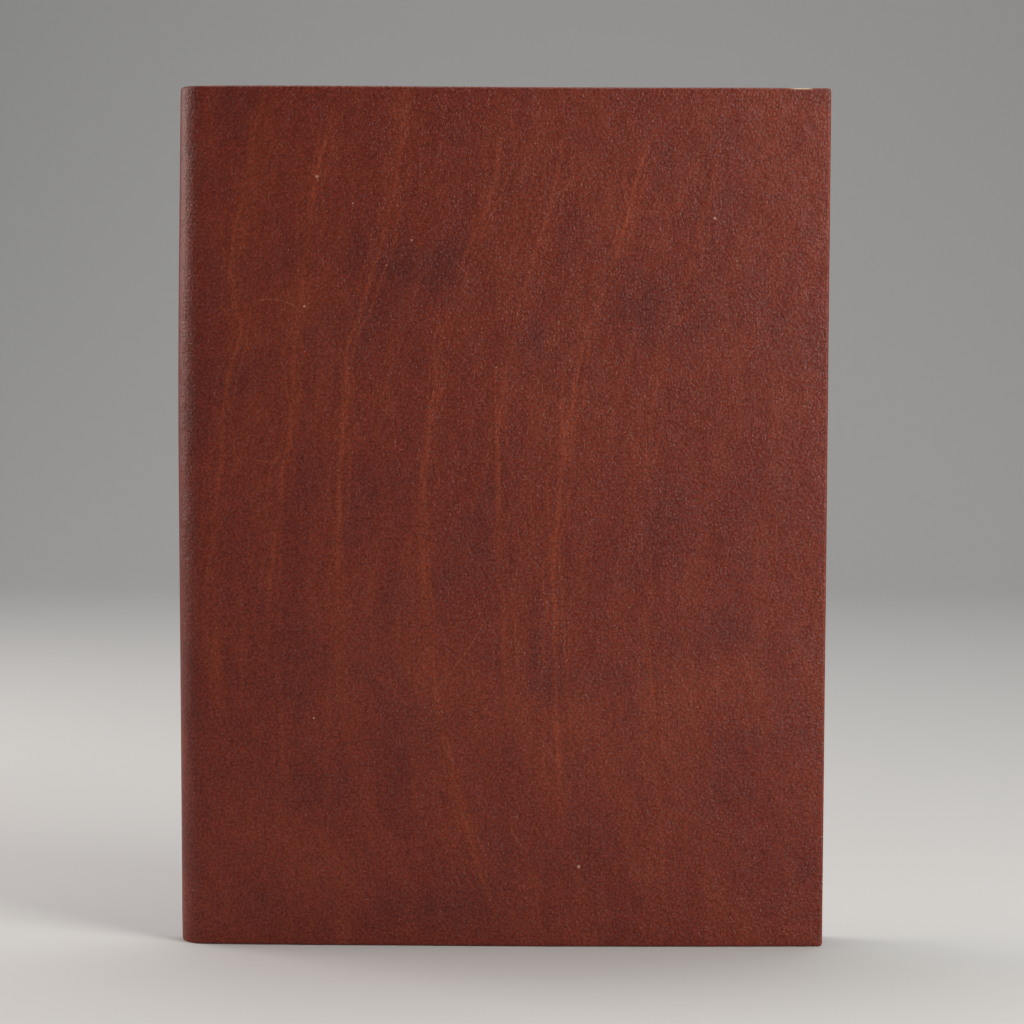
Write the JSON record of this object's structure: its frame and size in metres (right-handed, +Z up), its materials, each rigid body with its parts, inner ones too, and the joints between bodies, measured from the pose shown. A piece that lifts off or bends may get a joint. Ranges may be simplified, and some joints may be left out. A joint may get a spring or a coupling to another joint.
{
  "type": "leather notebook cover",
  "caption": "Turned-edge leather cover with a rounded spine for a soft-cover notebook: two hinged panels, sleeve pockets, a card pocket and the sewn notebook inside.",
  "frame": {"origin": "bottom edge, in the middle of the closed cover's width and thickness", "axes": "+Z up along the height, +X from the spine to the fore-edge, +Y from the front panel to the back panel"},
  "size_m": [0.166, 0.014, 0.22],
  "materials": {
    "outer_leather": "semi-gloss pebbled",
    "pocket_leather": "satin",
    "lining": "matte",
    "board": "matte",
    "stiffener": "matte",
    "card_cover": "matte",
    "paper": "matte",
    "stitching": "waxed",
    "binding_thread": "matte"
  },
  "bodies": {
    "back": {"back_outer_leather": "outer_leather", "back_board": "board", "back_lining": "lining", "back_pocket": "pocket_leather", "back_pocket_thread": "stitching", "refill_back_cover": "card_cover", "page_section_1": "paper", "page_section_2": "paper", "page_section_3": "paper", "page_section_4": "paper", "page_section_5": "paper", "page_section_6": "paper", "binding_thread": "binding_thread"},
    "spine": {"spine_outer_leather": "outer_leather", "spine_stiffener": "stiffener", "spine_lining": "lining"},
    "front": {"front_outer_leather": "outer_leather", "front_board": "board", "front_lining": "lining", "front_pocket": "pocket_leather", "front_pocket_thread": "stitching", "card_pocket": "pocket_leather", "card_pocket_thread": "stitching", "refill_front_cover": "card_cover"}
  },
  "joints": [
    {"name": "spine_hinge", "type": "hinge", "parent": "back", "child": "spine", "pos_m": [-0.08103, 0.00503, 0], "axis": [0, 0, -1], "range_deg": [0, 90]},
    {"name": "front_hinge", "type": "hinge", "parent": "spine", "child": "front", "pos_m": [-0.08103, -0.00503, 0], "axis": [0, 0, -1], "range_deg": [0, 90]}
  ]
}
